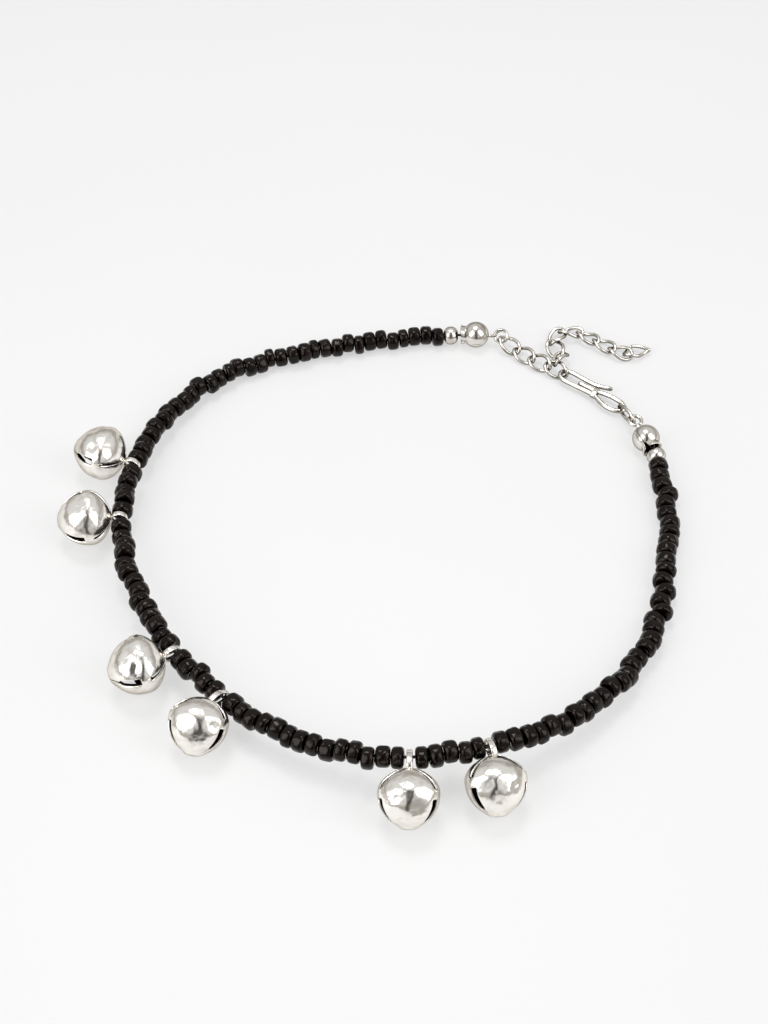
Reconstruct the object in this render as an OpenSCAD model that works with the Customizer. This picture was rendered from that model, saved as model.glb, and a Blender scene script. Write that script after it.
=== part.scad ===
// Beaded anklet with six jingle bells, an extension chain and a wire hook clasp.
// It lies on a flat surface as a closed loop: X to the right, Y away from the
// viewer, Z up. All sizes are in millimetres.

/* [Beads] */
// Outer diameter of a seed bead
bead_d = 3.1; // [2.6:0.1:3.4]
// Diameter of the hole through a seed bead
bead_hole_d = 1; // [0.8:0.1:1.2]
// Mean distance from one seed bead to the next
bead_pitch = 1.9; // [1.88:0.01:1.94]
// Clear space between two neighbouring seed beads
bead_gap = 0.14; // [0.1:0.01:0.2]
// How much the length of a seed bead varies, as a share of the pitch
bead_variation = 0.16; // [0:0.01:0.2]
// Radius of the rounding round both ends of a seed bead
bead_round = 0.6; // [0.3:0.05:0.7]
// Diameter of the thread
thread_d = 0.44; // [0.3:0.02:0.6]

/* [Bells] */
// Distance from the middle of a bell to the middle of each petal
petal_r = 3.9; // [3.6:0.1:4.1]
// Radius of a petal across its width; larger makes a more three-sided bell
petal_bulge_r = 5; // [4.6:0.1:6]
// Thickness of the bell's sheet metal
bell_wall = 0.35; // [0.3:0.05:0.5]
// Width of the seam slots on the side of the tip
tip_slot_w = 1.2; // [0.6:0.1:1.4]
// Width of the seam slots on the side of the ring
ring_slot_w = 0.5; // [0.3:0.1:0.8]
// Height of the bridge that joins two petals at the bell's waist
bridge_h = 1.7; // [1:0.1:2.2]
// Outer diameter of the bell's ring
ring_d = 3.4; // [3.2:0.1:3.6]
// Width of the ring's strip, along the string
ring_strip_w = 0.8; // [0.6:0.1:0.9]
// Thickness of the ring's strip
ring_strip_t = 0.4; // [0.3:0.05:0.5]
// Room left for a bell's ring between two seed beads
ring_room = 1.4; // [1.2:0.05:1.5]
// Diameter of the pellet inside a bell
pellet_d = 1.8; // [1.4:0.1:2]

/* [Bead tips] */
// Diameter of the plain metal bead at each end of the string
end_bead_d = 3; // [2.8:0.1:3.2]
// Length of the plain metal bead along the string
end_bead_len = 2.4; // [2.2:0.1:2.6]
// Diameter of a bead tip's ball
tip_d = 4.2; // [4:0.1:4.6]
// Thickness of a bead tip's sheet metal
tip_wall = 0.3; // [0.25:0.05:0.4]
// Outer diameter of a bead tip's loop
tip_loop_d = 2.6; // [2.4:0.1:2.8]
// Thickness of a bead tip's loop wire
tip_wire = 0.6; // [0.5:0.05:0.7]
// Length of the two lips on the side of the beads
lip_len = 0.8; // [0.5:0.1:1.1]

/* [Chain and hook] */
// Wire thickness of a chain link
link_wire = 0.55; // [0.45:0.05:0.6]
// Outer length of a chain link
link_len = 4.6; // [4.3:0.05:4.7]
// Outer width of a chain link
link_w = 3.1; // [2.9:0.1:3.3]
// Twist of a link's ends about its length, in degrees
link_twist = 38; // [30:1:45]
// Wire thickness of the hook
hook_wire = 0.75; // [0.6:0.05:0.8]

/* [Hidden] */

black_glass = "#1c1718";
silver = "#d9d7d2";
black_thread = "#141212";

$fn = 48;

// The middle of the object's outer box, taken off every place so that the origin
// lies under it on the surface
mid_x = 0.1;
mid_y = -0.1;

// Middle line of the string, from the left end to the right end. The string lies
// on the surface at the back and at the right, and the bells' rings hold it up
// along the left and the front
route = [
    [21.2, 44.6, 2.1], [17.4, 45.0, 2.15], [11, 45.1, 1.65], [3.6, 44.4, 1.6], [-3.9, 43.2, 1.6],
    [-11.2, 41.3, 1.6], [-18.3, 38.9, 1.6], [-24.7, 35.3, 1.9], [-30.2, 30.1, 2.3], [-33.9, 23.7, 2.8],
    [-36.2, 16.5, 3.3], [-37.4, 9.2, 3.7], [-37.3, 1.8, 3.8], [-35.8, -5.5, 3.8], [-32.9, -12.6, 4.0],
    [-29.1, -18.9, 4.2], [-24.4, -24.7, 4.1], [-18.8, -29.8, 4.1], [-12.8, -34, 4.4], [-6, -37.1, 4.8],
    [1.2, -38.8, 5.2], [8.7, -38.9, 5.5], [16, -37.3, 5.4], [23, -34.7, 4.8], [29.2, -30.9, 4.0],
    [34.5, -25.8, 3.1], [38.8, -19.5, 2.3], [41.9, -12.7, 1.8], [43.8, -5.4, 1.6], [44.8, 2, 1.6],
    [45.3, 9.4, 1.6], [45.2, 16.2, 1.6], [43.7, 20.7, 2.1], [42.4, 24.9, 2.1]
];
route_steps = 12;

// Seed beads on each stretch between the bells, and their pitch as a share of the mean
runs = [33, 5, 14, 5, 14, 5, 35];
run_share = [0.995, 0.995, 0.97, 0.97, 1, 1.005, 0.998];

// Length along the string from the middle of a bead tip to the nearest seed bead
left_len = 5.5;
right_len = 5;

// A bell's place: the way it points out from the string, in degrees seen from
// above; how far its ring end is raised, in degrees; its turn about its own axis,
// in degrees from one petal facing straight up; and the length from the string to
// the middle of its body
AZ = 0;
LIFT = 1;
TURN = 2;
REACH = 3;
bells = [
    [159, -7, 20, 5.6],
    [182, -3, 28, 5.4],
    [202, 2, 37, 5.65],
    [239, -1, 23, 5.55],
    [268, 11, 0, 5.6],
    [273, 11, 0, 5.55]
];

// A chain link's place as it lies: its middle, then its heading seen from above, its
// slope and its roll about its own length, in degrees
HEAD = 3;
SLOPE = 4;
ROLL = 5;
links = [
    [23.0, 43.4, 1.35, -42, -13, 10],
    [25.4, 41.35, 1.05, -42, 2, 22],
    [27.85, 39.35, 1.2, -36, 4, 33],
    [30.45, 37.65, 1.3, -33, -3, 40],
    [31.15, 39.9, 1.7, 68, -18, -40],
    [30.7, 42.6, 1.15, 113, 4, -24],
    [31.05, 45.5, 1.2, 60, 1, -21],
    [33.55, 46.7, 1.1, 2, -4, -19],
    [36.3, 45.65, 0.95, -35, 0, -16],
    [38.9, 43.8, 0.9, -37, 0, -8],
    [41.5, 42.15, 0.85, -22, -4, -1],
    [44.0, 42.35, 0.85, 21, 2, -2]
];

// The hook's wire, flat in its own frame: from the short end beside the shank,
// round the eye, back along the shank, round the bend and out to the tip
hook_line = [
    [2.6, 0.87], [4.4, 0.87], [6, 0.85], [7.6, 1.1], [9.2, 1.15], [10.8, 0.85], [11.7, 0],
    [10.8, -0.9], [9.2, -1.1], [7.6, -0.7], [6.2, -0.1], [4.8, 0], [2.6, 0],
    [0.4, 0], [-0.6, 0.35], [-1, 1.1], [-0.6, 1.8], [0.6, 2.1], [2.4, 2], [4.2, 1.9],
    [5.8, 2], [7.9, 2.6]
];
hook_place = [31.35, 35.55, 1.0, -36, 0.5, 6];
wrap_x = 5.5;
wrap_len = 0.9;

hook_link_len = 5;
hook_link_w = 2.8;
hook_link_place = [41.05, 27.35, 1.45, -64, 12, 99];

tip_1_at = 1;
tube_sides = 8;
link_sides = 6;
link_rings = 16;

// Small vector helpers
function unit(v) = v / norm(v);
function mix(a, b, t) = a * (1 - t) + b * t;

// Point t of the way from b to c on the smooth curve through a, b, c and d
function curve(a, b, c, d, t) =
    0.5 * (2 * b + (c - a) * t + (2 * a - 5 * b + 4 * c - d) * t * t + (3 * b - a - 3 * c + d) * t * t * t);

// All points of the smooth curve through a list of points, end points included
function smooth(p, steps) = let (n = len(p) - 1, first = 2 * p[0] - p[1], last = 2 * p[n] - p[n - 1])
    concat([for (i = [0 : n - 1], k = [0 : steps - 1])
        curve(i == 0 ? first : p[i - 1], p[i], p[i + 1], i == n - 1 ? last : p[i + 2], k / steps)],
        [p[n]]);

// Length along a line up to each of its points
function lengths(p) = [for (i = 0, d = 0; i < len(p);
    d = d + (i + 1 < len(p) ? norm(p[i + 1] - p[i]) : 0), i = i + 1) d];

line = smooth(route, route_steps);
line_len = lengths(line);
line_x = [for (i = [0 : len(line) - 1]) [line_len[i], line[i][0]]];
line_y = [for (i = [0 : len(line) - 1]) [line_len[i], line[i][1]]];
line_z = [for (i = [0 : len(line) - 1]) [line_len[i], line[i][2]]];
tip_len = line_len[route_steps * tip_1_at];

function string_at(s) = [lookup(s, line_x), lookup(s, line_y), lookup(s, line_z)];
function string_dir(s) = unit(string_at(s + 0.4) - string_at(s - 0.4));

// A placing matrix from an origin, a Z axis and a hint for the X axis
function frame_z(o, z, hint) = let (x = unit(hint - (hint * z) * z), y = cross(z, x))
    [[x[0], y[0], z[0], o[0]], [x[1], y[1], z[1], o[1]], [x[2], y[2], z[2], o[2]], [0, 0, 0, 1]];

// Lengths of the beads and where each begins along the string
bead_total = runs[0] + runs[1] + runs[2] + runs[3] + runs[4] + runs[5] + runs[6];
function wobble(i) = sin(137.5 * i) * cos(47 * i + 20);
function run_of(i, k = 0) = i < runs[k] ? k : run_of(i - runs[k], k + 1);
function pitch_of(i) = bead_pitch * run_share[run_of(i)] * (1 + bead_variation * wobble(i));
function beads_before(k) = k == 0 ? 0 : beads_before(k - 1) + runs[k - 1];
bead_start = [for (i = 0, s = tip_len + left_len; i < bead_total;
    s = s + pitch_of(i) + (i + 1 < bead_total && run_of(i + 1) > run_of(i) ? ring_room : 0), i = i + 1) s];
function bell_len(k) = bead_start[beads_before(k + 1)] - ring_room / 2;
string_end = bead_start[bead_total - 1] + pitch_of(bead_total - 1);

// Profile of a drilled bead with rounded ends, for a turn about Z
module bead_profile(r, hole_r, length, round_r) {
    side = length / 2 - round_r;
    intersection() {
        translate([hole_r, -length / 2]) square([r, length]);
        union() {
            translate([0, -length / 2]) square([r - round_r, length]);
            translate([0, -side]) square([r, 2 * side]);
            for (y = [-side, side]) translate([r - round_r, y]) circle(round_r);
        }
    }
}

module seed_beads() {
    color(black_glass)
    for (i = [0 : bead_total - 1]) {
        length = pitch_of(i) - bead_gap;
        s = bead_start[i] + pitch_of(i) / 2;
        size = bead_d / 2 * (1 + 0.02 * sin(71 * i));
        multmatrix(frame_z(string_at(s), string_dir(s), [0, 0, 1]))
            rotate_extrude() bead_profile(size, bead_hole_d / 2, length, bead_round);
    }
}

// Tube of one polyhedron swept along a line of points; a closed line joins its
// last ring to its first
module tube(p, r, sides, closed = false) {
    n = len(p);
    ahead = [for (i = [0 : n - 1]) closed ? unit(p[(i + 1) % n] - p[(i + n - 1) % n])
        : unit(p[min(i + 1, n - 1)] - p[max(i - 1, 0)])];
    points = [for (i = [0 : n - 1]) let (z = ahead[i], x = unit(cross([0, 0, 1], z)), y = cross(z, x))
        for (k = [0 : sides - 1]) let (a = 360 * (k + 0.5) / sides) p[i] + r * (cos(a) * x + sin(a) * y)];
    last = closed ? n - 1 : n - 2;
    walls = [for (i = [0 : last], k = [0 : sides - 1]) let (j = (i + 1) % n, m = (k + 1) % sides)
        [j * sides + k, j * sides + m, i * sides + m, i * sides + k]];
    caps = closed ? [] : [[for (k = [0 : sides - 1]) k],
        [for (k = [sides - 1 : -1 : 0]) (n - 1) * sides + k]];
    polyhedron(points, concat(walls, caps));
}

thread_rings = 78;
knot_r = 0.8;
module thread() {
    from = tip_len - 0.6;
    to = string_end + right_len + 0.6;
    color(black_thread) {
        tube([for (i = [0 : thread_rings - 1]) string_at(mix(from, to, i / (thread_rings - 1)))],
            thread_d / 2, tube_sides);
        translate(string_at(from + 0.3)) sphere(knot_r);
        translate(string_at(to - 0.3)) sphere(knot_r);
    }
}

// Metal bead at an end of the string, drilled through
module end_bead(s) {
    color(silver)
    multmatrix(frame_z(string_at(s), string_dir(s), [0, 0, 1]))
        rotate_extrude()
            bead_profile(end_bead_d / 2, bead_hole_d / 2, end_bead_len, end_bead_len / 2 - 0.1);
}

// Bead tip: a hollow ball open towards the beads, a seam along both its sides, two
// flat lips above and below its opening and a loop on its far side. Z points from
// the beads to the loop, X points up
lip_w = 2;
lip_room = 2.4;
seam_w = 0.16;
loop_reach = 4.2;
loop_drop = 0.35;
module bead_tip(at, towards, loop_turn) {
    r = tip_d / 2;
    loop_r = tip_loop_d / 2 - tip_wire / 2;
    lip_z = -r - lip_len + 0.35;
    color(silver)
    multmatrix(frame_z(at, towards, [0, 0, 1])) {
        difference() {
            union() {
                sphere(r);
                for (x = [-lip_room / 2 - tip_wall, lip_room / 2])
                    translate([x, -lip_w / 2, lip_z]) cube([tip_wall, lip_w, lip_len + 0.5]);
            }
            sphere(r - tip_wall);
            translate([0, 0, -r - 1]) cylinder(r = lip_room / 2 - 0.15, h = r + 1);
            translate([-seam_w / 2, -r - 1, -r - 1]) cube([seam_w, 2 * r + 2, r + 1.6]);
        }
        translate([-loop_drop, 0, loop_reach]) rotate([0, 0, loop_turn]) rotate([0, 90, 0])
            rotate_extrude() translate([loop_r, 0]) circle(tip_wire / 2, $fn = 24);
        translate([-loop_drop, 0, r - 0.25]) cylinder(d = tip_wire - 0.14, h = loop_reach - loop_r - r + 0.3);
    }
}

// One third of a bell's body: a barrel-shaped petal between two planes
module petal(r, bulge) {
    reach = 3 * r;
    intersection() {
        rotate([90, 0, 0]) rotate_extrude() intersection() {
            translate([r - bulge, 0]) circle(bulge, $fn = 96);
            translate([0, -reach / 2]) square(reach);
        }
        linear_extrude(height = reach, center = true)
            polygon([[0, 0], reach * [cos(60), sin(60)], [reach, 0], reach * [cos(60), -sin(60)]]);
    }
}

// Seam slot: a wedge that widens from near the axis out to the waist, and its round
// end, cut from height 0 up
module slot(width, near_r) {
    far_r = 1.3 * petal_r;
    near_w = width * near_r / far_r + 0.1;
    linear_extrude(height = petal_r + 1)
        polygon([[near_r, -near_w / 2], [far_r, -width / 2], [far_r, width / 2], [near_r, near_w / 2]]);
    translate([near_r, 0, 0]) rotate([0, 90, 0]) cylinder(d = width * 0.92, h = far_r - near_r);
}

// Bell in its own frame: the middle of its body at the origin, the ring on +Z and
// the ring's hole along X, bent by an angle towards the string
module bell_shape(turn, bend) {
    rotate([0, 0, turn]) difference() {
        for (k = [0 : 2]) rotate([0, 0, 120 * k]) petal(petal_r, petal_bulge_r);
        for (k = [0 : 2]) rotate([0, 0, 120 * k]) petal(petal_r - bell_wall, petal_bulge_r - bell_wall);
        for (k = [0 : 2]) rotate([0, 0, 120 * k + 60]) {
            translate([0, 0, bridge_h / 2]) slot(ring_slot_w, 0.9);
            mirror([0, 0, 1]) translate([0, 0, bridge_h / 2]) slot(tip_slot_w, 0.2);
        }
    }
    translate([0, 0, pole]) rotate([0, 90 - bend, 0]) translate([-ring_rise, 0, 0])
        rotate_extrude() translate([ring_d / 2 - ring_strip_t, -ring_strip_w / 2])
            square([ring_strip_t, ring_strip_w]);
}

// Where a bell sits: its ring is bent at the pole so that the string runs straight
// through it
pole = petal_r - 0.1;
ring_rise = ring_d / 2 - 0.2;
function out_of(b) = [cos(b[AZ]) * cos(b[LIFT]), sin(b[AZ]) * cos(b[LIFT]), -sin(b[LIFT])];
function bend_of(k) = asin(string_dir(bell_len(k)) * -out_of(bells[k]));
function bell_at(k) = let (z = -out_of(bells[k]), d = string_dir(bell_len(k)), x = unit(d - (d * z) * z),
        rise = bells[k][REACH] - pole)
    string_at(bell_len(k)) - (pole + rise * cos(bend_of(k))) * z + rise * sin(bend_of(k)) * x;

module bell(k) {
    color(silver)
    multmatrix(frame_z(bell_at(k), -out_of(bells[k]), string_dir(bell_len(k))))
        bell_shape(bells[k][TURN] - 90, bend_of(k));
}

module pellet(k) {
    drop = petal_r - bell_wall - pellet_d / 2 - 0.15;
    color(silver) translate(bell_at(k) - [0, 0, drop]) sphere(d = pellet_d);
}

// Middle line of a twisted chain link, in its own frame with its length along X
function link_line(length, width, twist) = [for (i = [0 : link_rings - 1])
    let (t = 360 * (i + 0.5) / link_rings, a = (length - link_wire) / 2, b = (width - link_wire) / 2,
         turn = twist * cos(t))
    [a * cos(t), b * sin(t) * cos(turn), b * sin(t) * sin(turn)]];

module laid(place) {
    translate([place[0], place[1], place[2]])
        rotate([0, 0, place[HEAD]]) rotate([0, -place[SLOPE], 0]) rotate([place[ROLL], 0, 0])
            children();
}

module chain_link(i) {
    color(silver) laid(links[i])
        tube(link_line(link_len, link_w, link_twist), link_wire / 2, link_sides, true);
}

module hook() {
    color(silver)
    laid(hook_place) {
        tube(smooth([for (q = hook_line) [q[0], q[1], 0]], 3), hook_wire / 2, tube_sides);
        for (y = [-0.05, 0.83])
            translate([wrap_x, y, 0]) rotate([0, 90, 0]) cylinder(r = hook_wire / 2 + 0.15, h = wrap_len);
    }
}

module hook_link() {
    color(silver) laid(hook_link_place)
        tube(link_line(hook_link_len, hook_link_w, 0), link_wire / 2, link_sides, true);
}

module placed() translate([-mid_x, -mid_y, 0]) children();

placed() seed_beads();
placed() thread();
placed() end_bead(bead_start[0] - end_bead_len / 2 - 0.1);  // end_bead_1
placed() end_bead(string_end + end_bead_len / 2 + 0.1);  // end_bead_2
placed() bead_tip(string_at(tip_len), -string_dir(tip_len), 40);  // bead_tip_1
placed() bead_tip(string_at(string_end + right_len), string_dir(string_end + right_len), 0);  // bead_tip_2
placed() bell(0);  // bell_1
placed() bell(1);  // bell_2
placed() bell(2);  // bell_3
placed() bell(3);  // bell_4
placed() bell(4);  // bell_5
placed() bell(5);  // bell_6
placed() pellet(0);  // pellet_1
placed() pellet(1);  // pellet_2
placed() pellet(2);  // pellet_3
placed() pellet(3);  // pellet_4
placed() pellet(4);  // pellet_5
placed() pellet(5);  // pellet_6
placed() chain_link(0);  // link_1
placed() chain_link(1);  // link_2
placed() chain_link(2);  // link_3
placed() chain_link(3);  // link_4
placed() chain_link(4);  // link_5
placed() chain_link(5);  // link_6
placed() chain_link(6);  // link_7
placed() chain_link(7);  // link_8
placed() chain_link(8);  // link_9
placed() chain_link(9);  // link_10
placed() chain_link(10);  // link_11
placed() chain_link(11);  // link_12
placed() hook();
placed() hook_link();
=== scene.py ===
# %% [markdown]
# # A beaded anklet with jingle bells
# The real thing is a string of black glass seed beads with six silver bells on
# rings. A plain silver bead and a hollow bead tip close each end, a chain hangs on
# one tip and a wire hook on the other. Everything here is made in metres, in the
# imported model's own frame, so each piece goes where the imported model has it. The
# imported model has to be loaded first, because every new piece rides on it.

import bpy
import numpy as np
from mathutils import Matrix, Vector


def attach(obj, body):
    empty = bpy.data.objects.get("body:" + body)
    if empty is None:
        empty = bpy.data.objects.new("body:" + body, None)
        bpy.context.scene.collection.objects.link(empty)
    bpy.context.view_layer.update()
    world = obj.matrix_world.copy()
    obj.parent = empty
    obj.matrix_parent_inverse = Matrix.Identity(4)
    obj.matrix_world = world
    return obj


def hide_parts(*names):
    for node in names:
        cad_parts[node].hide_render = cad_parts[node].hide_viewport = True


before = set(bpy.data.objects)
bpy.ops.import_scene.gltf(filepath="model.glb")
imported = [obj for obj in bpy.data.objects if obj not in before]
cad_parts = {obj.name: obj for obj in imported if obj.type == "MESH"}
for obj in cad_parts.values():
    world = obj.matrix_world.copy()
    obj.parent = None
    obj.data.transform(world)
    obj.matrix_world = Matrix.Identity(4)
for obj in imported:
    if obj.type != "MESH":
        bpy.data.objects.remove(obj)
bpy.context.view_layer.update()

scene = bpy.context.scene

# %% [markdown]
# ## Camera
# The photograph looks down on the table at 50 degrees, from about 25 cm away. A
# camera could be turned by hand until it fits, but two points say it all: where it
# stands and where it looks. The long lens is set in millimetres.

# %% Set the camera
CAMERA_AT = Vector((0.0019, -0.1532, 0.1923))
LOOKS_AT = Vector((0.0019, 0.0081, 0))
LENS, SEES_FROM = 57.3, 0.01

bpy.ops.object.camera_add(location=CAMERA_AT)
camera = bpy.context.object
camera.rotation_euler = (LOOKS_AT - CAMERA_AT).to_track_quat("-Z", "Y").to_euler()
camera.data.lens = LENS
camera.data.clip_start = SEES_FROM
scene.camera = camera
print("camera", round((CAMERA_AT - LOOKS_AT).length * 1000), "mm from where it looks")

# %% [markdown]
# ## A workbench for small pieces
# These pieces are a few millimetres across, and many tools merge points or stop
# bevels at sizes close to that. So each piece is modelled with 1 unit as 1 mm, and
# is brought down to metres when it is laid in its place. The place goes into the
# mesh, and the object itself stays at the origin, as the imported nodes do. The
# helpers below are the moves that a hand makes again and again: pick a piece, pick
# some of its faces, add a modifier and apply it.

# %% Pick pieces and parts of pieces
MM = 0.001


def pick(*pieces):
    """Select these pieces and nothing else; the first is the active one."""
    bpy.ops.object.select_all(action="DESELECT")
    for piece in pieces:
        piece.select_set(True)
    bpy.context.view_layer.objects.active = pieces[0]


def added(name):
    """The piece that the last operator added, named and in object mode."""
    piece = bpy.context.object
    piece.name = piece.data.name = name
    pick(piece)
    bpy.ops.object.transform_apply(location=True, rotation=True, scale=True)
    return piece


def choose(piece, kind, test):
    """Go into edit mode with those faces, edges or points chosen whose middle passes
    the test.
    """
    pick(piece)
    bpy.ops.object.mode_set(mode="EDIT")
    bpy.ops.mesh.select_mode(type=kind)
    bpy.ops.mesh.select_all(action="DESELECT")
    bpy.ops.object.mode_set(mode="OBJECT")
    mesh = piece.data
    spots = np.array([point.co for point in mesh.vertices])
    parts = {"FACE": mesh.polygons, "EDGE": mesh.edges, "VERT": mesh.vertices}[kind]
    for part in parts:
        middle = part.co if kind == "VERT" else spots[list(part.vertices)].mean(axis=0)
        part.select = bool(test(*middle))
    bpy.ops.object.mode_set(mode="EDIT")


def done():
    """Go back to object mode."""
    bpy.ops.object.mode_set(mode="OBJECT")


# %% Modifiers and shading
def modify(piece, kind, **values):
    """Add a modifier, set it and apply it."""
    pick(piece)
    modifier = piece.modifiers.new(kind.title(), kind)
    for name, value in values.items():
        setattr(modifier, name, value)
    bpy.ops.object.modifier_apply(modifier=modifier.name)


def soften(piece, width, segments, sharp):
    """Bevel the edges that bend more than this many radians."""
    modify(piece, "BEVEL", width=width, segments=segments, limit_method="ANGLE",
           angle_limit=sharp)


def sheet_metal(sheet, thickness, outside, inside, rim_crease=0.0):
    """Thicken a sheet inwards; its inner side gets a finish of its own."""
    sheet.data.materials.append(outside)
    sheet.data.materials.append(inside)
    modify(sheet, "SOLIDIFY", thickness=thickness, offset=-1, use_even_offset=True,
           material_offset=1, edge_crease_rim=rim_crease)


def shade(piece, degrees):
    """Shade a piece smooth, apart from edges that bend more than this."""
    pick(piece)
    bpy.ops.object.shade_smooth_by_angle(angle=np.radians(degrees))


# %% Copies and places
def copied(piece, name):
    """A copy with a mesh of its own."""
    copy = piece.copy()
    copy.data = piece.data.copy()
    copy.name = copy.data.name = name
    scene.collection.objects.link(copy)
    return copy


def joined(name, *pieces):
    """All the pieces as one, under this name."""
    pick(*pieces)
    bpy.ops.object.join()
    pieces[0].name = pieces[0].data.name = name
    return pieces[0]


def lay(piece, place):
    """Bring a piece from the bench to its place, down from millimetres to metres."""
    piece.data.transform(Matrix.Scale(MM, 4) @ place)
    piece.data.update()
    return piece


def set_on_table(piece):
    """Lift a laid piece that reaches below the table, and say by how many millimetres."""
    lift = max(-min(point.co.z for point in piece.data.vertices), 0)
    piece.data.transform(Matrix.Translation((0, 0, lift)))
    return lift / MM


# %% Clean and hand over a piece
MERGE_WITHIN = 0.0005


def close_normals(piece):
    """Merge doubles and turn every face outwards."""
    choose(piece, "FACE", lambda x, y, z: True)
    bpy.ops.mesh.remove_doubles(threshold=MERGE_WITHIN)
    bpy.ops.mesh.normals_make_consistent(inside=False)
    done()


def finish(piece, material, slot, *replaced):
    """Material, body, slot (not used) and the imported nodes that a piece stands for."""
    if not piece.data.materials:
        piece.data.materials.append(material)
    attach(piece, "root")
    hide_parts(*replaced)
    print(piece.name, "-", len(piece.data.polygons), "faces")


# %% [markdown]
# ## Finishes
# Black glass, bright plated metal and waxed thread are all made from nodes. Nodes
# could be wired one by one, but a finish is easier to read as arithmetic. A Term
# wraps one output, so that `1 - mask` or `0.2 + 0.1 * grain` adds the Math nodes
# by itself. Any other node comes from the finish's own `node` method.
#
# Plated metal isn't one grey. It dulls in soft patches, and its reflections darken
# towards the edges of a form. Wire gets painted light: its upper side is painted
# bright, and its flanks are painted dark as shade. The inside of a bell is painted
# nearly black, as painted shade.

# %% Shader arithmetic
class Term:
    """An output of a node tree that takes part in sums."""

    def __init__(self, tree, socket):
        self.tree, self.socket = tree, socket

    def math(self, operation, first, second=None):
        node = self.tree.nodes.new("ShaderNodeMath")
        node.operation = operation
        for place, value in enumerate((first, second)):
            if isinstance(value, Term):
                self.tree.links.new(value.socket, node.inputs[place])
            elif value is not None:
                node.inputs[place].default_value = value
        return Term(self.tree, node.outputs[0])

    def __add__(self, other):
        return self.math("ADD", self, other)

    def __sub__(self, other):
        return self.math("SUBTRACT", self, other)

    def __rsub__(self, other):
        return self.math("SUBTRACT", other, self)

    def __mul__(self, other):
        return self.math("MULTIPLY", self, other)

    def clamped(self):
        return self.math("MINIMUM", self.math("MAXIMUM", self, 0.0), 1.0)

    __radd__, __rmul__ = __add__, __mul__


class Nodes:
    """A node tree that is written as expressions."""

    def __init__(self, tree):
        self.tree = tree
        tree.nodes.clear()

    def node(self, kind, settings=None, output=0, **values):
        """Add a node: its settings first, then the values or links of its sockets.

        A socket that shares its name with others is given by its number, as in _6.
        """
        node = self.tree.nodes.new(kind)
        for name, value in (settings or {}).items():
            if name == "stops":
                ramp = node.color_ramp.elements
                while len(ramp) < len(value):
                    ramp.new(0.5)
                for stop, (place, colour) in zip(ramp, value):
                    stop.position, stop.color = place, (*colour, 1)
            else:
                setattr(node, name, value)
        for name, value in values.items():
            key = int(name[1:]) if name[1:].isdigit() else name.replace("_", " ")
            if isinstance(value, Term):
                self.tree.links.new(value.socket, node.inputs[key])
            else:
                node.inputs[key].default_value = value
        return Term(self.tree, node.outputs[output])

    def mix(self, factor, first, second):
        """A colour between two colours."""
        first, second = (value if isinstance(value, Term) else (*value, 1)
                         for value in (first, second))
        return self.node("ShaderNodeMix", {"data_type": "RGBA"}, output=2,
                         Factor=factor, _6=first, _7=second)


# %% Patterns that every finish uses
class Finish(Nodes):
    """A material whose patterns are measured in millimetres on the piece."""

    def __init__(self, name):
        self.material = bpy.data.materials.new(name)
        self.material.use_nodes = True
        super().__init__(self.material.node_tree)
        self.place = self.node("ShaderNodeTexCoord", output=3)

    def noise(self, size, detail=2.0, stretch=None):
        """Cloudy noise with lumps of about this size, in millimetres."""
        place = self.place
        if stretch:
            place = self.node("ShaderNodeMapping", Vector=place, Scale=stretch)
        return self.node("ShaderNodeTexNoise", Vector=place, Scale=1 / (size * MM),
                         Detail=detail)

    def bump(self, height, depth, below=None):
        """Relief of this depth in millimetres, on top of another relief."""
        links = {"Normal": below} if below else {}
        return self.node("ShaderNodeBump", Height=height, Distance=depth * MM, **links)

    def surface(self, **values):
        """The finished material, with these values on its shader."""
        shader = self.node("ShaderNodeBsdfPrincipled", **values)
        out = self.tree.nodes.new("ShaderNodeOutputMaterial")
        self.tree.links.new(shader.socket, out.inputs["Surface"])
        return self.material


# %% Black glass and thread
def black_glass():
    """Black all through with a breath of brown, glossy, with soft facets and fine pits."""
    glass = Finish("black pressed glass")
    lot = glass.noise(2.4, 0.0)
    grain = glass.noise(0.35, 3.0)
    pits = glass.noise(0.09, 2.0)
    facets = glass.noise(1.1, 0.0)
    tint = glass.mix((lot - 0.35) * 2.5, (0.001, 0.0003, 0.0002), (0.004, 0.002, 0.0015))
    relief = glass.bump(facets, 0.22, glass.bump(grain, 0.035, glass.bump(pits, 0.005)))
    return glass.surface(Base_Color=tint, Roughness=0.05 + 0.1 * grain, Normal=relief,
                         IOR=1.32, Specular_Tint=(1, 0.87, 0.8, 1))


def waxed_thread():
    """Black thread with the slanting bands of its twist."""
    thread = Finish("waxed black thread")
    twist = thread.node("ShaderNodeTexWave", {"bands_direction": "DIAGONAL"}, output=1,
                        Vector=thread.place, Scale=1 / (1.2 * MM), Distortion=1.5)
    colour = thread.mix(twist, (0.004, 0.004, 0.004), (0.02, 0.018, 0.017))
    return thread.surface(Base_Color=colour, Roughness=0.55 + 0.1 * twist,
                          Normal=thread.bump(twist, 0.05))


GLASS = black_glass()
THREAD = waxed_thread()
print("finishes:", GLASS.name, "and", THREAD.name)

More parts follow.
